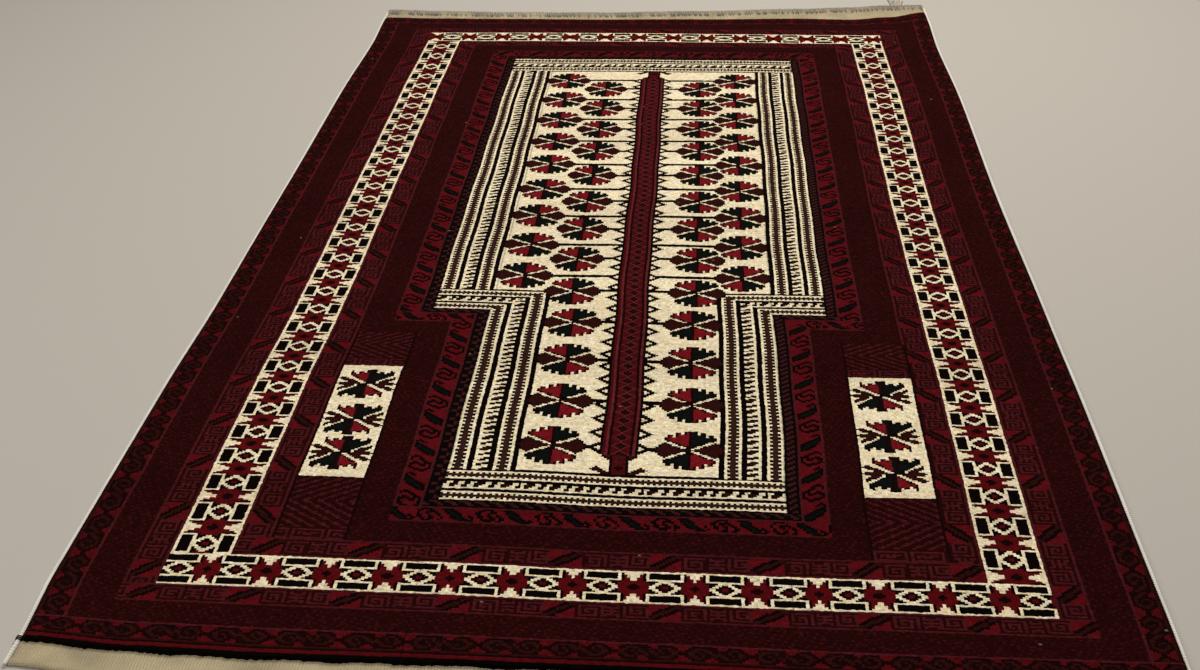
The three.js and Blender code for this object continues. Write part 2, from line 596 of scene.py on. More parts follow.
# Where the pattern's columns and rows lie, counted in knots of the mean size: weavers pack some
# bands tighter than others
KNOTS_ACROSS, KNOTS_ALONG = 348, 753
COLUMN_PLACES = (
    (0, 0), (66, 66), (118, 118.5), (139, 140.5), (236, 236.5), (264, 263),
    (288, 286.5), (299, 297), (319, 315.5), (330, 326), (343, 338), (354, 348),
)
ROW_PLACES = (
    (0, 0), (15, 15), (28, 27), (39, 37.5), (59, 57), (70, 69), (98, 99.5), (119, 121),
    (639, 632), (660, 656), (675, 674.5), (699, 697), (719, 716.5), (743, 739.5), (758, 753),
)


def smoothstep(value, low, high):
    """Rises smoothly from 0 at low to 1 at high."""
    share = np.clip((value - low) / (high - low), 0, 1)
    return share * share * (3 - 2 * share)


def between(places, values, at):
    """A smooth value between the entries of a table."""
    places, values = np.array(places, float), np.array(values, float)
    held = np.clip(at, places[0], places[-1])
    low = np.clip(np.searchsorted(places, held, side="right") - 1, 0, len(places) - 2)
    share = (held - places[low]) / (places[low + 1] - places[low])
    return values[low] + (values[low + 1] - values[low]) * smoothstep(share, 0, 1)


def side_x(side, along):
    """Where a long side of the pile lies, at a share of its length."""
    straight = -PILE_WIDTH / 2 if side == "left" else PILE_WIDTH / 2
    return straight + between(SIDE_ALONG, SIDE_WANDER[side], along)


def end_y(end, across):
    """Where an end of the pile lies, at a share of its width."""
    straight = PILE_NEAR if end == "near" else PILE_NEAR + PILE_LENGTH
    return straight + between(END_ACROSS, END_WANDER[end], across)


def hem_y(end, across):
    """Where the flat weave beyond that end stops."""
    depth = between(END_ACROSS, WEAVE_DEPTH[end], across)
    return end_y(end, across) + (-depth if end == "near" else depth)


def x_at(across, y):
    """The x at that share of the pile's width."""
    along = (y - PILE_NEAR) / PILE_LENGTH
    return side_x("left", along) + (side_x("right", along) - side_x("left", along)) * across


def pile_y(across, share):
    """Where a row of knots lies: near an end it follows that end's uneven edge."""
    reach = END_REACH / PILE_LENGTH
    near = (1 - smoothstep(share, 0, reach)) * between(END_ACROSS, END_WANDER["near"], across)
    far = smoothstep(share, 1 - reach, 1) * between(END_ACROSS, END_WANDER["far"], across)
    return PILE_NEAR + share * PILE_LENGTH + near + far


def wave(x, y):
    """Slow swells of the pile's top, up to 1 mm."""
    return 0.5 * (np.sin(x / 130 + y / 310) + np.sin(y / 95 - x / 240))


def edge_fall(distance, reach, drop):
    """How much lower the pile is near its edge."""
    return drop * (1 - np.clip(distance / reach, 0, 1)) ** 2


# Meshes


def linear(hex_colour):
    """The sRGB hex as a linear colour."""
    parts = [int(hex_colour[i : i + 2], 16) / 255 for i in (1, 3, 5)]
    return [c / 12.92 if c <= 0.04045 else ((c + 0.055) / 1.055) ** 2.4 for c in parts]


def new_piece(name, points, faces, material, rough_faces=()):
    """A mesh from points in millimetres. All faces are smooth except those in rough_faces."""
    mesh = bpy.data.meshes.new(name)
    mesh.from_pydata(np.asarray(points) * MM, [], faces)
    smooth = np.ones(len(mesh.polygons), bool)
    smooth[list(rough_faces)] = False
    mesh.polygons.foreach_set("use_smooth", smooth)
    mesh.materials.append(material)
    piece = bpy.data.objects.new(name, mesh)
    bpy.context.scene.collection.objects.link(piece)
    return piece


def grid_faces(rows, columns, first=0, turned=False):
    """Quads between a grid's points, one list of corners each, facing up unless turned."""
    numbers = first + np.arange((rows + 1) * (columns + 1)).reshape(rows + 1, columns + 1)
    a, b = numbers[:-1, :-1], numbers[:-1, 1:]
    c, d = numbers[1:, 1:], numbers[1:, :-1]
    corners = (a, d, c, b) if turned else (a, b, c, d)
    return np.stack(corners, axis=-1).reshape(-1, 4)


def rim(numbers):
    """The outermost point numbers of a grid, once round, anticlockwise from above."""
    return np.concatenate([numbers[0, :-1], numbers[:-1, -1], numbers[-1, :0:-1], numbers[:0:-1, 0]])


def ring_faces(numbers, turned=False):
    """Quads round a tube's rings and a cap at each end; turned where the rings run the other way."""
    a, b = numbers[:-1], np.roll(numbers[:-1], -1, axis=1)
    c, d = np.roll(numbers[1:], -1, axis=1), numbers[1:]
    corners = (a, d, c, b) if turned else (a, b, c, d)
    quads = np.stack(corners, axis=-1).reshape(-1, 4)
    start, end = (numbers[0], numbers[-1][::-1]) if turned else (numbers[0][::-1], numbers[-1])
    return [*quads.tolist(), start.tolist(), end.tolist()]


def tube(name, paths, sides, material):
    """Closed tubes in one mesh. Each path has its centres and its two radius vectors at each."""
    points, faces = [], []
    turn = np.linspace(0, 2 * np.pi, sides, endpoint=False)[:, None]
    for centres, across, up in paths:
        first = sum(len(part) for part in points)
        ring = centres[:, None] + np.cos(turn) * across[:, None] + np.sin(turn) * up[:, None]
        points.append(ring.reshape(-1, 3))
        faces += ring_faces(first + np.arange(len(centres) * sides).reshape(len(centres), sides))
    return new_piece(name, np.concatenate(points), faces, material)


# Materials

# Noise counts bumps to a knot in the pile and to a metre elsewhere. Wool fibres are 0.03 mm thick and
# are drawn coarser, as bundles of about a millimetre. Patches of 45 mm vary the shade of the other
# yarns, and the flat weave's threads wander over 17 mm.
FIBRES_PER_KNOT, YARN_NOISE, PATCH_NOISE, WANDER_NOISE = 2.6, 900.0, 22.0, 60.0

# A rib of the flat weave covers one knot's two warps, and its wefts are packed closer, in millimetres
RIB_PITCH, WEFT_PITCH = 3.1, 1.5

# The sheen of wool, the flat weave and the floor
SHEEN, FLAT_WEAVE, FLOOR = "#c08a78", "#b3a78a", "#b4b1ab"


def paint(name):
    """A new material, its node tree and its shader."""
    material = bpy.data.materials.new(name)
    material.use_nodes = True
    return material, material.node_tree, material.node_tree.nodes["Principled BSDF"]


def add(tree, kind, values=None, links=None, **settings):
    """Adds a node: settings are its properties, values its sockets, links what feeds them."""
    node = tree.nodes.new("ShaderNode" + kind)
    for key, value in settings.items():
        setattr(node, key, value)
    for socket, value in (values or {}).items():
        node.inputs[socket].default_value = value
    for socket, source in (links or {}).items():
        tree.links.new(source, node.inputs[socket])
    return node


def sum_of(tree, operation, *sides):
    """One step of arithmetic, whose sides are numbers or sockets."""
    node = add(tree, "Math", operation=operation)
    for socket, side in zip(node.inputs, sides):
        if isinstance(side, (int, float)):
            socket.default_value = side
        else:
            tree.links.new(side, socket)
    return node.outputs[0]


def noise(tree, where, scale, detail, roughness=0.5):
    """Noise with that many bumps to a unit of length."""
    values = {"Scale": scale, "Detail": detail, "Roughness": roughness}
    return add(tree, "TexNoise", values, {"Vector": where}).outputs[0]


def mapped(tree, value, *limits):
    """The value brought from one range to another, each given as its least and most."""
    names = ("From Min", "From Max", "To Min", "To Max")
    return add(tree, "MapRange", dict(zip(names, limits)), {"Value": value}).outputs[0]


def matt(shader, sheen):
    """Wool's dull surface, with a faint warm sheen from the ends of its fibres."""
    shader.inputs["Roughness"].default_value = 0.95
    shader.inputs["Specular IOR Level"].default_value = 0.01
    shader.inputs["Sheen Weight"].default_value = sheen
    shader.inputs["Sheen Roughness"].default_value = 0.5
    shader.inputs["Sheen Tint"].default_value = (*linear(SHEEN), 1)


def shaded(tree, shader, colour, factor):
    """Feeds the shader the colour, made lighter or darker by the factor."""
    product = add(tree, "VectorMath", links={0: colour, "Scale": factor}, operation="SCALE")
    tree.links.new(product.outputs[0], shader.inputs["Base Color"])


def embossed(tree, shader, height, depth):
    """Feeds the shader relief of that depth in millimetres."""
    bump = add(tree, "Bump", {"Strength": 0.8, "Distance": depth * MM}, {"Height": height})
    tree.links.new(bump.outputs[0], shader.inputs["Normal"])


def wool_material(name, tuft_height):
    """Dyed wool: each knot a soft dome in its own yarn's colour, with a faint bloom of fibre ends."""
    material, tree, shader = paint(name)
    yarn = add(tree, "Attribute", attribute_name="yarn")
    place = add(tree, "Attribute", attribute_name="place").outputs["Vector"]
    fibres = noise(tree, place, FIBRES_PER_KNOT, 3.0, 0.6)
    shaded(tree, shader, yarn.outputs["Color"], mapped(tree, fibres, 0.3, 0.7, 0.75, 1.2))
    matt(shader, 0.035)
    split = add(tree, "SeparateXYZ", links={0: place})
    domes = []
    for axis in (0, 1):
        turns = sum_of(tree, "MULTIPLY", split.outputs[axis], math.pi)
        domes.append(sum_of(tree, "ABSOLUTE", sum_of(tree, "SINE", turns)))
    dome = sum_of(tree, "SQRT", sum_of(tree, "MULTIPLY", *domes))
    height = sum_of(tree, "ADD", dome, sum_of(tree, "MULTIPLY", fibres, 0.8))
    embossed(tree, shader, height, tuft_height)
    return material


def yarn_material(name, colour, contrast, relief, height=None, groove_and_shade=None):
    """Yarn of one colour. Height builds further relief; the last argument names a stored value of
    painted shade that darkens the colour.
    """
    material, tree, shader = paint(name)
    where = add(tree, "TexCoord").outputs["Object"]
    fibres = noise(tree, where, YARN_NOISE, 4.0, 0.65)
    patches = noise(tree, where, PATCH_NOISE, 2.0)
    mixed = sum_of(tree, "MULTIPLY", sum_of(tree, "ADD", fibres, patches), 0.5)
    factor = mapped(tree, mixed, 0.35, 0.65, 1 - contrast, 1 + contrast)
    # Painted shade: a stored value darkens the colour where it is set, as in the grooves of a wrapped
    # cord
    if groove_and_shade:
        depth = add(tree, "Attribute", attribute_name=groove_and_shade)
        light = sum_of(tree, "SUBTRACT", 1.0, depth.outputs["Fac"])
        factor = sum_of(tree, "MULTIPLY", factor, light)
    tint = add(tree, "RGB")
    tint.outputs[0].default_value = (*linear(colour), 1)
    shaded(tree, shader, tint.outputs[0], factor)
    matt(shader, 0.03)
    embossed(tree, shader, height(tree, where, fibres) if height else fibres, relief)
    return material


def plain_weave(tree, where, fibres):
    """Height of wefts packed over ribs of warp, alternate ribs half a weft apart."""
    bend = sum_of(tree, "MULTIPLY", noise(tree, where, WANDER_NOISE, 2.0), 5.0)
    split = add(tree, "SeparateXYZ", links={0: where})
    waves = []
    for axis, pitch in ((0, RIB_PITCH), (1, WEFT_PITCH)):
        turns = sum_of(tree, "MULTIPLY", split.outputs[axis], 2 * math.pi / (pitch * MM))
        waves.append(sum_of(tree, "SINE", sum_of(tree, "ADD", turns, bend)))
    checks, wefts = sum_of(tree, "MULTIPLY", *waves), sum_of(tree, "MULTIPLY", waves[1], 0.5)
    height = sum_of(tree, "ADD", checks, wefts)
    return sum_of(tree, "ADD", height, fibres)


# Wool, knotted and cut: each knot shows as its own soft dot, so the pattern looks tied
wool_pile = wool_material("cut_wool_pile", 0.7)

# The same wool behind the pile, beaten flat: lower dots, and the pattern again
knot_backs = wool_material("wool_knot_backs", 0.35)

# Undyed wool in plain weave: a fine check of ribs and wefts, in uneven beige
flat_weave = yarn_material("undyed_flat_weave", FLAT_WEAVE, 0.24, 0.35, height=plain_weave)

# Grey-white yarn wrapped round and round: a pale cord, with painted shade darkening the grooves between
# its turns
cord_wrap = yarn_material("grey_white_wrapping_yarn", "#e6e4df", 0.12, 0.15, groove_and_shade="groove_and_shade")

# Grey yarn sewn over the hem: duller than the cords
hem_yarn = yarn_material("grey_hem_stitching_yarn", "#a19d94", 0.2, 0.15)

# Loose undyed warp, spun and cut: soft strands, greyer than the cords
warp_yarn = yarn_material("loose_undyed_warp", "#a9a294", 0.18, 0.15)

# Dark thread, tied on: one nearly black knot on the pale cord
dark_thread = yarn_material("dark_mending_thread", "#24201f", 0.2, 0.1)

# The yarns as dyed, by the charts' letters
YARNS = {
    "m": "#230607",  # wine ground
    "v": "#330c0f",  # wine specks
    "d": "#150405",  # darkest brown
    "k": "#060404",  # black
    "g": "#070f0e",  # blue-black
    "r": "#6f131b",  # petal red
    "t": "#560c14",  # red
    "c": "#540a10",  # star red
    "u": "#4c0a10",  # scroll red
    "l": "#45151a",  # fine lines
    "b": "#2b0d0c",  # brown
    "n": "#430a0f",  # pole red
    "w": "#5c2026",  # pole rose
    "h": "#301c16",  # beaded stripes
    "e": "#381719",  # dull red brown
    "i": "#f0e5cb",  # undyed ivory
}

# How far the yarn's shade strays from row to row and from tuft to tuft, and a tuft's warmth
ROW_SHADE, TUFT_SHADE, TUFT_WARMTH = 0.03, 0.13, 0.03
# How much of each light the yellower tufts of undyed wool lose
IVORY_STAIN = (0.08, 0.15, 0.36)
# The share of the knots that a pale speck of lint has settled on
LINT, LINT_COLOUR = 0.00012, "#675f56"


def yarn_colours(grid, rng):
    """Each knot's own colour: dye lots drift from row to row, and no two tufts are quite alike.
    Undyed wool yellows unevenly."""
    table = np.zeros((128, 3))
    for letter, colour in YARNS.items():
        table[ord(letter)] = linear(colour)
    colours = table[np.vectorize(ord)(grid)]
    rows = np.arange(ROWS)
    drift = 0.05 * np.sin(rows / 23 + 1) + 0.04 * np.sin(rows / 9.1)
    lot = 1 + drift + rng.normal(0, ROW_SHADE, ROWS)
    tuft = 1 + rng.normal(0, TUFT_SHADE, grid.shape)
    warmth = rng.normal(0, TUFT_WARMTH, grid.shape)
    colours = colours * (lot[:, None] * tuft)[..., None]
    colours[..., 0] *= 1 + warmth
    colours[..., 2] *= 1 - warmth
    lint = (rng.random(grid.shape) < LINT) & (grid != "i")
    colours[lint] = linear(LINT_COLOUR)
    stain = rng.random(grid.shape)[..., None] ** 2 * (grid == "i")[..., None]
    colours *= 1 - stain * np.array(IVORY_STAIN)
    return np.clip(colours, 0.001, 1)


# The pile

# Its lengthwise strips, and the lengths that a strip's map is folded into
STRIPS, FOLDS = 3, 3

# How far the corner between knots strays sideways and in height, and an end's edge along the rug
KNOT_STRAY, HEIGHT_STRAY, RAGGED = 0.28, 0.13, 0.5


def pile_surface(rng):
    """The corners between knots, in millimetres. Nothing tied by hand is quite straight."""
    column = np.interp(np.arange(COLUMNS + 1), *np.transpose(COLUMN_PLACES))
    row = np.interp(np.arange(ROWS + 1), *np.transpose(ROW_PLACES))
    across, share = np.meshgrid(column / KNOTS_ACROSS, row / KNOTS_ALONG)
    y = pile_y(across, share)
    x = x_at(across, y)
    inside = 4 * across * (1 - across) * np.clip(8 * share * (1 - share), 0, 1)
    drift_x = 1.4 * np.sin(y / 88 + 0.6) * np.sin(x / 260 + 1.1) + 0.7 * np.sin(y / 27 + x / 90)
    drift_y = 1.5 * np.sin(x / 120 + 0.4) * np.sin(y / 300 + 0.8) + 0.8 * np.sin(x / 37 - y / 150)
    jitter = rng.normal(0, KNOT_STRAY, (2, *x.shape))
    from_side = np.minimum(across, 1 - across) * PILE_WIDTH
    from_end = np.minimum(share, 1 - share) * PILE_LENGTH
    z = PILE_TOP + wave(x, y) + rng.normal(0, HEIGHT_STRAY, x.shape)
    z -= edge_fall(from_side, SIDE_ROUND, SIDE_DROP) + edge_fall(from_end, END_ROUND, END_DROP)
    ragged = rng.normal(0, RAGGED, x.shape[1]) + 0.8 * np.sin(np.arange(x.shape[1]) / 4.1)
    y[0] += np.minimum(ragged, 1) - 0.6
    y[-1] -= ragged * 0.5
    x += inside * drift_x + jitter[0] * (from_side > 2)
    y += inside * drift_y + jitter[1]
    return np.stack([x, y, z], axis=-1)


def set_yarns(piece, place, colours):
    """Stores each point's place in knots, and each face's yarn colour on its corners."""
    mesh = piece.data
    stored = mesh.attributes.new("place", "FLOAT_VECTOR", "POINT")
    place = np.column_stack([place, np.zeros(len(place))])
    stored.data.foreach_set("vector", place.astype(np.float32).ravel())
    sizes = np.zeros(len(mesh.polygons), np.int32)
    mesh.polygons.foreach_get("loop_total", sizes)
    corners = np.repeat(np.column_stack([colours, np.ones(len(colours))]), sizes, axis=0)
    stored = mesh.attributes.new("yarn", "FLOAT_COLOR", "CORNER")
    stored.data.foreach_set("color", corners.astype(np.float32).ravel())
    return sizes


def set_map(piece, u, v):
    """The texture map that a bake fills, one place for each corner."""
    layer = piece.data.uv_layers.new(name="OFBake")
    layer.data.foreach_set("uv", np.column_stack([u, v]).astype(np.float32).ravel())


def corner_numbers(mesh):
    """The point number of every face's corners, in order."""
    numbers = np.zeros(len(mesh.loops), np.int32)
    mesh.loops.foreach_get("vertex_index", numbers)
    return numbers


def map_strip(piece, place, faces, sizes, rows, columns):
    """Folds the strip's map into lengths side by side, so that it fills a square."""
    low_row = np.repeat([min(place[number, 1] for number in face) for face in faces], sizes)
    length = rows / FOLDS
    fold = np.minimum(low_row // length, FOLDS - 1)
    corners = place[corner_numbers(piece.data)]
    u = (fold + 0.01 + 0.98 * corners[:, 0] / columns) / FOLDS
    v = 0.004 + 0.992 * np.clip(corners[:, 1] / length - fold, 0, 1)
    set_map(piece, u, v)


def pile_strip(name, surface, colours, first, last):
    """One lengthwise strip of the pile: a closed slab of knots that stands on the foundation."""
    top = surface[:, first : last + 1]
    rows, columns = top.shape[0] - 1, top.shape[1] - 1
    numbers = np.arange(top.shape[0] * top.shape[1]).reshape(top.shape[:2])
    edge = rim(numbers)
    low = top.reshape(-1, 3)[edge].copy()
    low[:, 2] = PILE_BASE
    below = numbers.size + np.arange(len(edge))
    walls = np.stack([edge, below, np.roll(below, -1), np.roll(edge, -1)], axis=-1)
    knots = grid_faces(rows, columns)
    faces = [*knots.tolist(), *walls.tolist(), below[::-1].tolist()]
    points = np.concatenate([top.reshape(-1, 3), low])
    piece = new_piece(name, points, faces, wool_pile, range(len(knots), len(faces)))
    along, across = np.indices(numbers.shape).reshape(2, -1)
    place = np.column_stack([across, along])
    place = np.concatenate([place, place[edge]])
    knot_of = np.minimum(place[edge], (columns - 1, rows - 1))
    yarns = colours[:, first:last].reshape(-1, 3)
    under = np.mean(yarns, axis=0, keepdims=True)
    wall_yarns = yarns[knot_of[:, 1] * columns + knot_of[:, 0]]
    sizes = set_yarns(piece, place + (first, 0), np.concatenate([yarns, wall_yarns, under]))
    map_strip(piece, place, faces, sizes, rows, columns)
    return piece


# The foundation

# Sections across the flat-woven ends: how far in from the edge, and how high
NEAR_HEM = ((0, 1.4), (1.5, 3.6), (4, 4.2), (6, 3.7), (8, WEAVE_TOP))
FAR_HEM = ((-5, 3), (-3, 7.5), (0, 9), (4, 8), (7, 4.5), (9, WEAVE_TOP))

# How far outside the pile the flat weave's last line lies, and how many knots a quad underneath spans
WEAVE_GAP, BACK_STEP = 1, 2

# What the foundation's map covers, and where its flat-woven ends stop, from the rug's middle
MAP_X, MAP_Y, MAP_NEAR, MAP_FAR = 560, 905, -855, 750

# More values than the longest hand-worked line runs through
LINE_VALUES = 400


def hand_line(rng, at, size, pitch):
    """Small wanderings of that size along a hand-worked edge, a new one every pitch millimetres."""
    values = rng.normal(0, size, LINE_VALUES)
    return np.interp(np.asarray(at) / pitch, np.arange(LINE_VALUES), values)


def foundation_lines(rng):
    """Each line across the woven cloth as its points' y, top height, and row of the pattern."""
    across = np.interp(np.arange(0, COLUMNS + 1, BACK_STEP), *np.transpose(COLUMN_PLACES))
    across = across / KNOTS_ACROSS
    lines = []
    for end, sections, direction in (("near", NEAR_HEM, 1), ("far", FAR_HEM, -1)):
        wander = hand_line(rng, across * PILE_WIDTH, 0.4, 9)
        swell = 1 + hand_line(rng, across * PILE_WIDTH, 0.06, 14)
        ys = [hem_y(end, across) + wander + direction * inward for inward, _ in sections]
        tops = [top * swell if top > WEAVE_TOP else top + 0 * across for _, top in sections]
        ys.append(end_y(end, across) - direction * WEAVE_GAP)
        tops.append(WEAVE_TOP + 0 * across)
        half = list(zip(ys, tops, [None] * len(ys)))
        lines += half if end == "near" else half[::-1]
        if end == "near":
            for row in range(0, ROWS + 1, BACK_STEP):
                share = np.interp(row, *np.transpose(ROW_PLACES)) / KNOTS_ALONG
                lines.append((pile_y(across, share), WEAVE_TOP + 0 * across, row))
    return across, lines


def map_foundation(piece, points, is_back):
    """Gives the underside the lower part of the map, and the ends the rest."""
    spot = points[corner_numbers(piece.data)]
    u = np.interp(spot[:, 0], (-MAP_X, MAP_X), (0.004, 0.996))
    back_v = np.interp(spot[:, 1], (-MAP_Y, MAP_Y), (0.004, 0.79))
    front_v = np.interp(spot[:, 1], (-MAP_Y, MAP_NEAR, MAP_FAR, MAP_Y), (0.8, 0.87, 0.88, 0.996))
    set_map(piece, u, np.where(is_back, back_v, front_v))


def build_foundation(grid_colours, rng):
    """The woven cloth: a flat-woven strip with a turned hem at each end, and between them the
    backs of the knots, where the pattern shows again underneath."""
    across, lines = foundation_lines(rng)
    y = np.stack([line[0] for line in lines])
    top = np.stack([line[1] for line in lines])
    x = x_at(across, y)
    rows, columns = y.shape[0] - 1, y.shape[1] - 1
    count = y.size
    numbers = np.arange(count).reshape(y.shape)
    upper = np.stack([x, y, top], axis=-1).reshape(-1, 3)
    lower = np.stack([x, y, 0 * top], axis=-1).reshape(-1, 3)
    in_pile = [number for number, line in enumerate(lines) if line[2] is not None]
    first, last = in_pile[0] - 1, in_pile[-1] + 1
    quads = grid_faces(rows, columns).reshape(rows, columns, 4)
    ends = np.concatenate([quads[:first], quads[last:]]).reshape(-1, 4)
    lid = rim(numbers[first : last + 1])
    edge = rim(numbers)
    walls = np.stack([edge, edge + count, np.roll(edge, -1) + count, np.roll(edge, -1)], axis=-1)
    backs = grid_faces(rows, columns, count, turned=True)
    faces = [*ends.tolist(), lid.tolist(), *walls.tolist(), *backs.tolist()]
    used, renumbered = np.unique(np.concatenate([np.ravel(f) for f in faces]), return_inverse=True)
    starts = np.cumsum([0, *[len(f) for f in faces]])
    faces = [renumbered[a:b].tolist() for a, b in zip(starts[:-1], starts[1:])]
    points = np.concatenate([upper, lower])[used]
    piece = new_piece("woven_foundation", points, faces, flat_weave, [len(ends)])
    piece.data.materials.append(knot_backs)
    place_rows = np.array([line[2] or 0 for line in lines])
    place = np.stack(np.broadcast_arrays(np.arange(columns + 1) * BACK_STEP, place_rows[:, None]), -1)
    place = np.concatenate([place.reshape(-1, 2)] * 2)[used]
    back_rows = np.arange(rows)
    knotted = (back_rows >= in_pile[0]) & (back_rows < in_pile[-1])
    step_row = np.clip((back_rows - in_pile[0]) * BACK_STEP, 0, ROWS - 1)
    back_colours = grid_colours[step_row][:, ::BACK_STEP][:, :columns].reshape(-1, 3)
    front_count = len(faces) - len(backs)
    plain = np.tile(linear(FLAT_WEAVE), (front_count, 1))
    sizes = set_yarns(piece, place, np.concatenate([plain, back_colours]))
    slots = np.zeros(len(faces), np.int32)
    slots[front_count:] = np.repeat(knotted, columns)
    piece.data.polygons.foreach_set("material_index", slots)
    map_foundation(piece, points, np.repeat(np.arange(len(faces)) >= front_count, sizes))
    return piece


# Cords, stitches and loose ends, all in millimetres

# The wrapped cords: the step between rings, a ring's sides, and one turn of yarn
CORD_STEP, CORD_SIDES, WRAP_PITCH = 0.65, 12, 2.7
# The grooves between turns: their depth as a share of the radius, their painted shade as a share of the
# colour; and how the cord's ends thin
GROOVE_DEPTH, GROOVE_SHADE = 0.13, 0.4
END_LENGTH, END_THINNING = 3, 0.35

# The stitches: how far apart, how far over the hem and how much of that past its edge, how high, half
# their width and thickness, their lean, and how far inside the rug's sides they stop
STITCH_PITCH, STITCH_REACH, STITCH_OUTSIDE = 3.3, 14, 6
STITCH_LOW, STITCH_RISE, STITCH_WIDE, STITCH_THICK = 0.8, 9, 1.25, 0.7
STITCH_LEAN, STITCH_MARGIN = 1.2, 3

# The tuft: its middle, its width at root and far end, its length, its bound head and its number of
# strands; a strand's radius, and how much of it goes towards the end
TUFT_X, TUFT_ROOT, TUFT_SPREAD, TUFT_LENGTH, TUFT_HEAD, TUFT_STRANDS = 497, 13, 27, 62, 9, 13
STRAND_RADIUS, STRAND_TAPER = 1.5, 0.5

# The dark thread: how far from the near end of the pile, its turns, their pitch and its loose end
THREAD_AT, THREAD_TURNS, THREAD_PITCH, THREAD_END = 6, 2.5, 1.8, 8


def tube_path(centres, radius_side, radius_up, guide=(0, 0, 1)):
    """Centres with the two radius vectors of a tube that follows them, the first square to the guide."""
    centres = np.asarray(centres, float)
    forward = np.gradient(centres, axis=0)
    forward /= np.linalg.norm(forward, axis=1, keepdims=True)
    across = np.cross(forward, guide)
    across /= np.linalg.norm(across, axis=1, keepdims=True)
    up = np.cross(across, forward)
    return centres, across * np.reshape(radius_side, (-1, 1)), up * np.reshape(radius_up, (-1, 1))


def side_cord(side, rng):
    """The bundle of warps at one side, wrapped close with yarn: each turn stands a little proud, and the
    grooves between turns get painted shade.
    """
    across = 0.0 if side == "left" else 1.0
    outward = -1 if side == "left" else 1
    low, high = float(hem_y("near", across)), float(hem_y("far", across))
    steps = int((high - low) / CORD_STEP)
    y = np.linspace(low, high, steps + 1)
    along = (y - PILE_NEAR) / PILE_LENGTH
    x = side_x(side, along) + outward * (SEAM + CORD_WIDTH / 2)
    turns = np.cumsum(CORD_STEP / (WRAP_PITCH * (1 + hand_line(rng, y - low, 0.16, 7))))
    from_end = np.minimum(y - low, high - y)
    full = 1 - END_THINNING * np.clip(1 - from_end / END_LENGTH, 0, 1) ** 2
    angle = np.linspace(0, 2 * np.pi, CORD_SIDES, endpoint=False)
    lean = turns[:, None] + outward * angle / (2 * np.pi) * 0.5
    groove_and_shade = np.abs(np.cos(np.pi * lean)) ** 6
    size = full[:, None] * (1 - GROOVE_DEPTH * groove_and_shade) * (1 + hand_line(rng, y - low, 0.03, 5))[:, None]
    z = CORD_HEIGHT / 2 * (1 + size * np.sin(angle))
    px = x[:, None] + CORD_WIDTH / 2 * size * np.cos(angle)
    points = np.stack([px, np.broadcast_to(y[:, None], px.shape), z], axis=-1).reshape(-1, 3)
    faces = ring_faces(np.arange(len(points)).reshape(px.shape), turned=True)
    piece = new_piece(f"side_cord_{side}_wrapped", points, faces, cord_wrap)
    # Painted shade for the grooves between turns, stored on the points and read by the cord's material
    stored = piece.data.attributes.new("groove_and_shade", "FLOAT", "POINT")
    stored.data.foreach_set("value", (GROOVE_SHADE * groove_and_shade).astype(np.float32).ravel())
    return piece


def hem_stitches(rng):
    """Whip stitches of grey-white yarn over the far hem, no two quite alike."""
    paths = []
    step = np.linspace(0, 1, 9)
    x = -PILE_WIDTH / 2 + STITCH_MARGIN
    while x < PILE_WIDTH / 2 - STITCH_MARGIN:
        edge = float(hem_y("far", (x + PILE_WIDTH / 2) / PILE_WIDTH))
        lean = STITCH_LEAN + rng.normal(0, 0.5)
        inward = (STITCH_REACH + rng.normal(0, 1.2)) * step - STITCH_OUTSIDE
        height = STITCH_LOW + STITCH_RISE * np.sin(np.pi * step) ** 0.6
        height[-1] = WEAVE_TOP
        centres = np.column_stack([x + lean * (step - 0.5) * 2, edge - inward, height])
        wide = STITCH_WIDE + rng.normal(0, 0.1)
        paths.append(tube_path(centres, wide, STITCH_THICK))
        x += STITCH_PITCH + rng.normal(0, 0.35)
    return tube("far_hem_stitches", paths, 6, hem_yarn)


def corner_tuft():
    """The loose warp ends past the far right corner: soft strands from one bound root."""
    root_sides = [(TUFT_X + side * TUFT_ROOT / 2) / PILE_WIDTH + 0.5 for side in (-1, 1)]
    root_y = max(float(hem_y("far", across)) for across in root_sides) + SEAM
    paths = []
    step = np.linspace(0, 1, 15)
    for number in range(TUFT_STRANDS):
        share = number / (TUFT_STRANDS - 1) - 0.5
        length = TUFT_LENGTH * (1 - 0.3 * abs(math.sin(number * 2.3)))
        sway = 3 * math.sin(number * 1.7)
        fan = (TUFT_ROOT * 0.75 + (TUFT_SPREAD - TUFT_ROOT * 0.75) * step) * share
        x = TUFT_X + fan + sway * step**2 + 0.5 * np.sin(step * 9 + number)
        y = root_y + 1 + (length - 1) * step
        z = 1.0 + 2.2 * np.clip(1 - step * 4, 0, 1) + 0.3 * np.abs(np.sin(step * 7 + number))
        radius = STRAND_RADIUS - STRAND_TAPER * step
        paths.append(tube_path(np.column_stack([x, y, z]), radius, np.minimum(radius, 0.95)))
    head = np.linspace(0, TUFT_HEAD, 7)
    centres = np.column_stack([0 * head + TUFT_X, root_y + head, 0 * head + 2.3])
    swell = np.sin(np.pi * np.clip(head / TUFT_HEAD, 0.08, 0.92)) ** 0.4
    paths.append(tube_path(centres, TUFT_ROOT / 2 * swell, 2.2 * swell))
    return tube("corner_tuft_strands", paths, 8, warp_yarn)


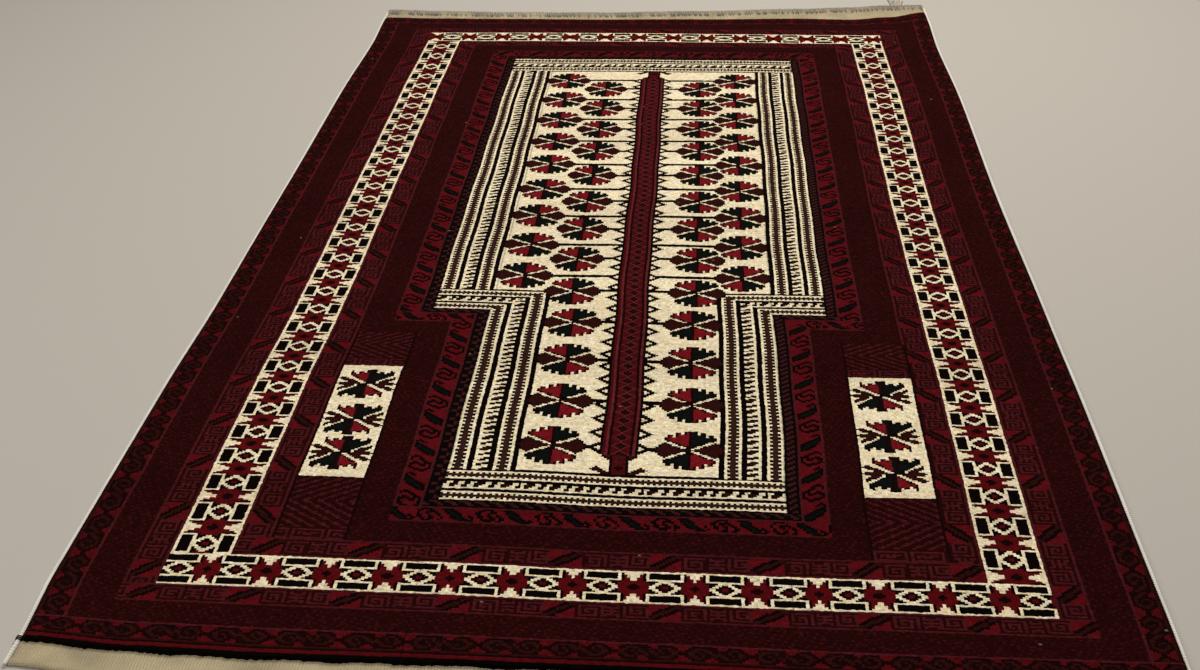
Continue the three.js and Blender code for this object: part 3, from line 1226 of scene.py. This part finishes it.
def dark_thread_knot():
    """A few turns of dark thread round the left cord where the pile begins, with a loose end."""
    middle_x = float(side_x("left", THREAD_AT / PILE_LENGTH)) - SEAM - CORD_WIDTH / 2
    middle_y = PILE_NEAR + THREAD_AT
    angle = np.linspace(0, 2 * np.pi * THREAD_TURNS, 44)
    x = middle_x + (CORD_WIDTH / 2 + 0.5) * np.cos(angle)
    y = middle_y + THREAD_PITCH * angle / (2 * np.pi)
    z = CORD_HEIGHT / 2 + 0.4 + (CORD_HEIGHT / 2 + 0.3) * np.sin(angle)
    turns = np.column_stack([x, y, np.maximum(z, 0.6)])
    step = np.linspace(0, 1, 12)
    end = turns[-1] + np.column_stack([-1.2 * step**2, -THREAD_END * step, 0 * step])
    end[:, 2] = turns[-1][2] * (1 - step) + 0.7 * step
    paths = [tube_path(turns, 0.6, 0.5, (0, 1, 0.001)), tube_path(end, 0.5, 0.5)]
    return tube("dark_thread_knot", paths, 6, dark_thread)


# Put together

drawn = np.random.default_rng(11)
pattern = knotted_pattern(drawn)
colours = yarn_colours(pattern, drawn)
surface = pile_surface(drawn)

strips = []
for number in range(STRIPS):
    first, last = (round(COLUMNS * share / STRIPS) for share in (number, number + 1))
    strips.append(pile_strip(f"pile_strip_{number + 1}", surface, colours, first, last))
foundation = build_foundation(colours, drawn)
cords = {side: side_cord(side, drawn) for side in ("left", "right")}
stitches = hem_stitches(drawn)
tuft = corner_tuft()
thread = dark_thread_knot()

for piece in (*strips, foundation, *cords.values(), stitches, tuft, thread):
    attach(piece, "root")
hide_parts("rug_body")
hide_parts("corner_tuft")
for side, cord in cords.items():
    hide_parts(f"side_cord_{side}")

# Floor, light and camera

floor_mesh = bpy.data.meshes.new("floor")
floor_corners = [(x, y, -MM) for x, y in ((-9, -9), (9, -9), (9, 12), (-9, 12))]
floor_mesh.from_pydata(floor_corners, [], [(0, 1, 2, 3)])
floor = bpy.data.objects.new("floor", floor_mesh)
bpy.context.scene.collection.objects.link(floor)

# Plain painted floor: pale and even, so that the rug stands out
floor_paint, _, floor_shader = paint("plain_pale_floor")
floor_shader.inputs["Base Color"].default_value = (*linear(FLOOR), 1)
floor_shader.inputs["Roughness"].default_value = 0.8
floor_mesh.materials.append(floor_paint)


def soft_light(name, place, target, size, watts, colour):
    """A square softbox turned to its target."""
    lamp = bpy.data.lights.new(name, "AREA")
    lamp.shape = "SQUARE"
    lamp.size = size
    lamp.energy = watts
    lamp.color = linear(colour)
    holder = bpy.data.objects.new(name, lamp)
    holder.location = place
    holder.rotation_euler = (Vector(target) - Vector(place)).to_track_quat("-Z", "Y").to_euler()
    bpy.context.scene.collection.objects.link(holder)


soft_light("key_softbox", (0.5, 1.2, 2.7), (0, 0.1, 0), 1.6, 80, "#fff6ea")
soft_light("fill_softbox", (-1.6, -1.8, 2.4), (0, 0, 0), 2.2, 36, "#fffaf2")

world = bpy.data.worlds.new("studio")
world.use_nodes = True
backdrop = world.node_tree.nodes["Background"]
backdrop.inputs["Color"].default_value = (1.0, 0.97, 0.93, 1)
backdrop.inputs["Strength"].default_value = 0.18
bpy.context.scene.world = world

# The photograph's viewpoint, worked out from the corners of the rug
forward = Vector((-0.073, 0.812, -0.579)).normalized()
up = Vector((-0.024, 0.579, 0.815))
right = forward.cross(up).normalized()
up = right.cross(forward)
camera_data = bpy.data.cameras.new("camera")
camera_data.sensor_width = 36
camera_data.lens = 36.1
camera = bpy.data.objects.new("camera", camera_data)
camera.matrix_world = Matrix.LocRotScale(
    Vector((0.087, -1.586, 0.896)), Matrix((right, up, -forward)).transposed(), None
)
bpy.context.scene.collection.objects.link(camera)
bpy.context.scene.camera = camera
bpy.context.scene.view_settings.view_transform = "Standard"
